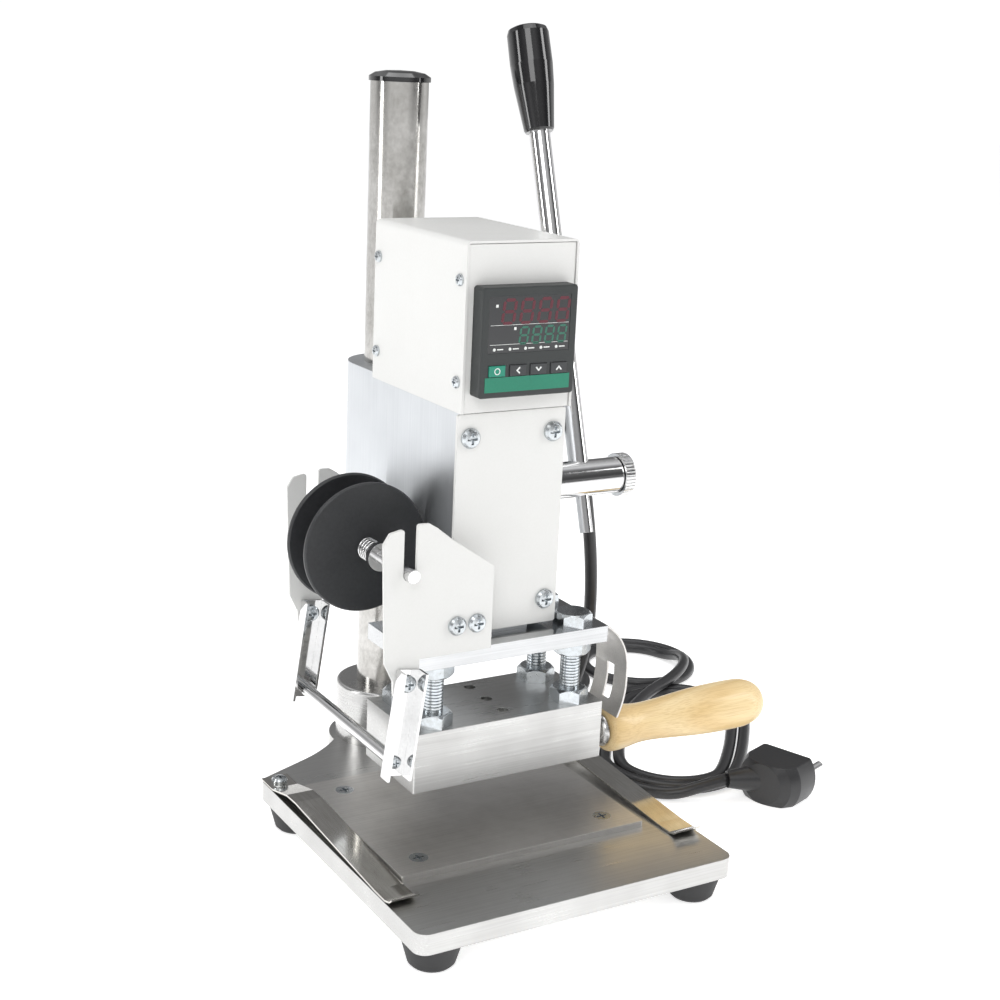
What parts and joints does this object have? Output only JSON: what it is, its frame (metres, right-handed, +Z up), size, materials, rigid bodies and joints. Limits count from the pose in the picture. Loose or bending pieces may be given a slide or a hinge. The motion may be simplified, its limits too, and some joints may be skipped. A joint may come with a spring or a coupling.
{
  "type": "hot foil stamper",
  "caption": "Bench hot foil stamper: lever press with heated head on a round column, foil reel, temperature controller and mains cord.",
  "frame": {"origin": "top face of the work plate, under the centre of the heating block", "axes": "+Z up, -Y towards the operator, +X to the operator's right"},
  "size_m": [0.337, 0.305, 0.3857],
  "materials": {
    "polished_aluminium": "bright milled and polished",
    "satin_aluminium": "satin extruded",
    "brushed_steel": "brushed",
    "spring_steel": "mirror polished strip",
    "chrome": "chrome plated",
    "zinc": "bluish zinc plated",
    "white_paint": "white powder coat",
    "black_rubber": "matt",
    "black_plastic": "glossy",
    "black_disc": "satin",
    "meter_case": "fine grain",
    "meter_window": "tinted, glossy",
    "bronze": "turned",
    "black_pvc": "soft PVC",
    "varnished_wood": "pale, clear varnish",
    "switch_red": "glossy"
  },
  "bodies": {
    "stand": {"base_plate": "polished_aluminium", "rubber_feet": "black_rubber", "work_plate": "brushed_steel", "stand_screws": "zinc", "leaf_clips": "spring_steel", "column_collar": "brushed_steel", "column": "chrome", "column_cap": "black_plastic", "cord_drop": "black_pvc", "cord_coil_back": "black_pvc", "cord_coil_front": "black_pvc", "cord_tail": "black_pvc", "plug_body": "black_pvc", "plug_pins": "chrome"},
    "head": {"head_housing": "satin_aluminium", "head_bushes": "bronze", "front_panel": "white_paint", "head_screws": "zinc", "control_case": "white_paint", "case_front": "white_paint", "controller_bezel": "meter_case", "controller_body": "meter_case", "controller_window": "meter_window", "switch_frame": "black_plastic", "cable_gland": "black_pvc", "reel_rail": "satin_aluminium", "reel_bracket_front": "white_paint", "reel_bracket_rear": "white_paint", "reel_carrier_screws": "zinc", "arm_pivot_screws": "zinc", "return_springs": "brushed_steel"},
    "lever": {"lever_shaft": "chrome", "shaft_washer": "brushed_steel", "pinion": "brushed_steel", "lever_rod": "chrome", "lever_grip": "black_plastic"},
    "lock_knob": {"lock_knob": "chrome"},
    "ram": {"ram": "satin_aluminium", "guide_rods": "chrome", "upper_plate": "polished_aluminium", "levelling_bolts": "zinc", "levelling_nuts": "zinc", "heating_block": "polished_aluminium", "heating_elements": "brushed_steel", "lead_guard": "brushed_steel"},
    "die_slide": {"die_plate": "polished_aluminium", "handle_rod": "chrome", "wood_handle": "varnished_wood"},
    "reel_shaft": {"reel_shaft": "brushed_steel", "reel_spring": "brushed_steel"},
    "reel": {"reel_discs": "black_disc", "reel_core": "black_disc"},
    "foil_guide": {"guide_arms": "chrome", "guide_rod": "chrome", "guide_rod_screws": "zinc"},
    "rocker": {"switch_rocker": "switch_red"},
    "key_set": {"key_set": "black_plastic"},
    "key_shift": {"key_shift": "black_plastic"},
    "key_down": {"key_down": "black_plastic"},
    "key_up": {"key_up": "black_plastic"}
  },
  "joints": [
    {"name": "head_height", "type": "slide", "parent": "stand", "child": "head", "axis": [0, 0, 1], "range_m": [0, 0.12]},
    {"name": "ram_slide", "type": "slide", "parent": "head", "child": "ram", "axis": [0, 0, -1], "range_m": [0, 0.01649], "stiffness_N_per_m": 500, "springref_m": -0.03, "deforming": ["return_springs"]},
    {"name": "lever_pull", "type": "hinge", "parent": "head", "child": "lever", "pos_m": [0, 0.0091, 0.154], "axis": [1, 0, 0], "range_deg": [0, 90.5]},
    {"name": "lock_knob_turn", "type": "hinge", "parent": "lever", "child": "lock_knob", "pos_m": [0.075, 0.0091, 0.154], "axis": [1, 0, 0], "continuous": true},
    {"name": "die_withdraw", "type": "slide", "parent": "ram", "child": "die_slide", "axis": [1, 0, 0], "range_m": [0, 0.1]},
    {"name": "reel_lift", "type": "slide", "parent": "head", "child": "reel_shaft", "axis": [0, 0, 1], "range_m": [0, 0.028]},
    {"name": "reel_spin", "type": "hinge", "parent": "reel_shaft", "child": "reel", "pos_m": [-0.056, 0.027, 0.13], "axis": [0, 1, 0], "continuous": true},
    {"name": "guide_swing", "type": "hinge", "parent": "head", "child": "foil_guide", "pos_m": [-0.0564, 0.025, 0.0806], "axis": [0, 1, 0], "range_deg": [-5, 90]},
    {"name": "rocker_tip", "type": "hinge", "parent": "head", "child": "rocker", "pos_m": [-0.012, 0.0713, 0.248], "axis": [1, 0, 0], "range_deg": [-14, 0]},
    {"name": "key_set_press", "type": "slide", "parent": "head", "child": "key_set", "axis": [0, 1, 0], "range_m": [0, 0.0005], "stiffness_N_per_m": 600, "springref_m": -0.0005},
    {"name": "key_shift_press", "type": "slide", "parent": "head", "child": "key_shift", "axis": [0, 1, 0], "range_m": [0, 0.0005], "stiffness_N_per_m": 600, "springref_m": -0.0005},
    {"name": "key_down_press", "type": "slide", "parent": "head", "child": "key_down", "axis": [0, 1, 0], "range_m": [0, 0.0005], "stiffness_N_per_m": 600, "springref_m": -0.0005},
    {"name": "key_up_press", "type": "slide", "parent": "head", "child": "key_up", "axis": [0, 1, 0], "range_m": [0, 0.0005], "stiffness_N_per_m": 600, "springref_m": -0.0005}
  ],
  "couplings": [
    {"joint": "lever_pull", "follows": "ram_slide", "rad_per_m": 95.238}
  ]
}
